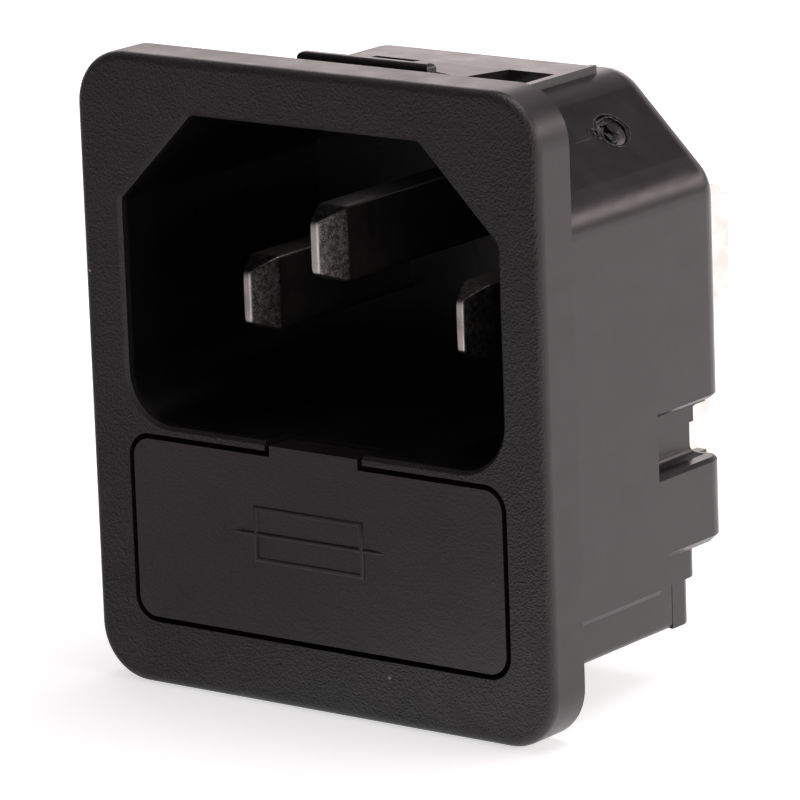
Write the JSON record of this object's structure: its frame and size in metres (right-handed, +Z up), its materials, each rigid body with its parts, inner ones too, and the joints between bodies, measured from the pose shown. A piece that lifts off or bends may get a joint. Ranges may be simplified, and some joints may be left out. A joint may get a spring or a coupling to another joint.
{
  "type": "c14 panel inlet socket with fuse drawer",
  "caption": "Snap-in panel inlet for a mains appliance cord: a keyed plug cavity with blade pins, quick-connect tabs behind, and a pull-out fuse drawer under the cavity.",
  "frame": {"origin": "centre of the bezel on its rear face, where the bezel meets the panel", "axes": "+X to the right seen from the front, +Y through the panel towards the terminals, +Z up, with the earth pin above the other two"},
  "size_m": [0.03, 0.028, 0.0344],
  "materials": {
    "housing_black": "glass-filled thermoplastic, fine spark-eroded texture on the bezel front, semi-gloss elsewhere",
    "drawer_black": "satin black thermoplastic",
    "cover_black": "semi-gloss black thermoplastic",
    "pin_nickel": "dull nickel plate over brass",
    "clip_nickel": "bright nickel plate over spring brass",
    "rivet_brass": "plain brass",
    "cap_nickel": "nickel-plated pressed cap",
    "fuse_glass": "clear drawn tube",
    "wire_tinned": "thin tinned wire"
  },
  "bodies": {
    "housing": {"housing": "housing_black", "rear_cover": "cover_black", "neutral_pin": "pin_nickel", "earth_pin": "pin_nickel", "line_pin": "pin_nickel", "line_link": "clip_nickel", "line_tab": "pin_nickel", "left_fuse_clip": "clip_nickel", "right_fuse_clip": "clip_nickel", "left_clip_rivet": "rivet_brass", "right_clip_rivet": "rivet_brass"},
    "drawer": {"fuse_drawer": "drawer_black", "fuse_glass": "fuse_glass", "fuse_left_cap": "cap_nickel", "fuse_right_cap": "cap_nickel", "fuse_wire": "wire_tinned", "spare_glass": "fuse_glass", "spare_left_cap": "cap_nickel", "spare_right_cap": "cap_nickel", "spare_wire": "wire_tinned"}
  },
  "joints": [
    {"name": "drawer_slide", "type": "slide", "parent": "housing", "child": "drawer", "axis": [0, -1, 0], "range_m": [0, 0.014]}
  ]
}
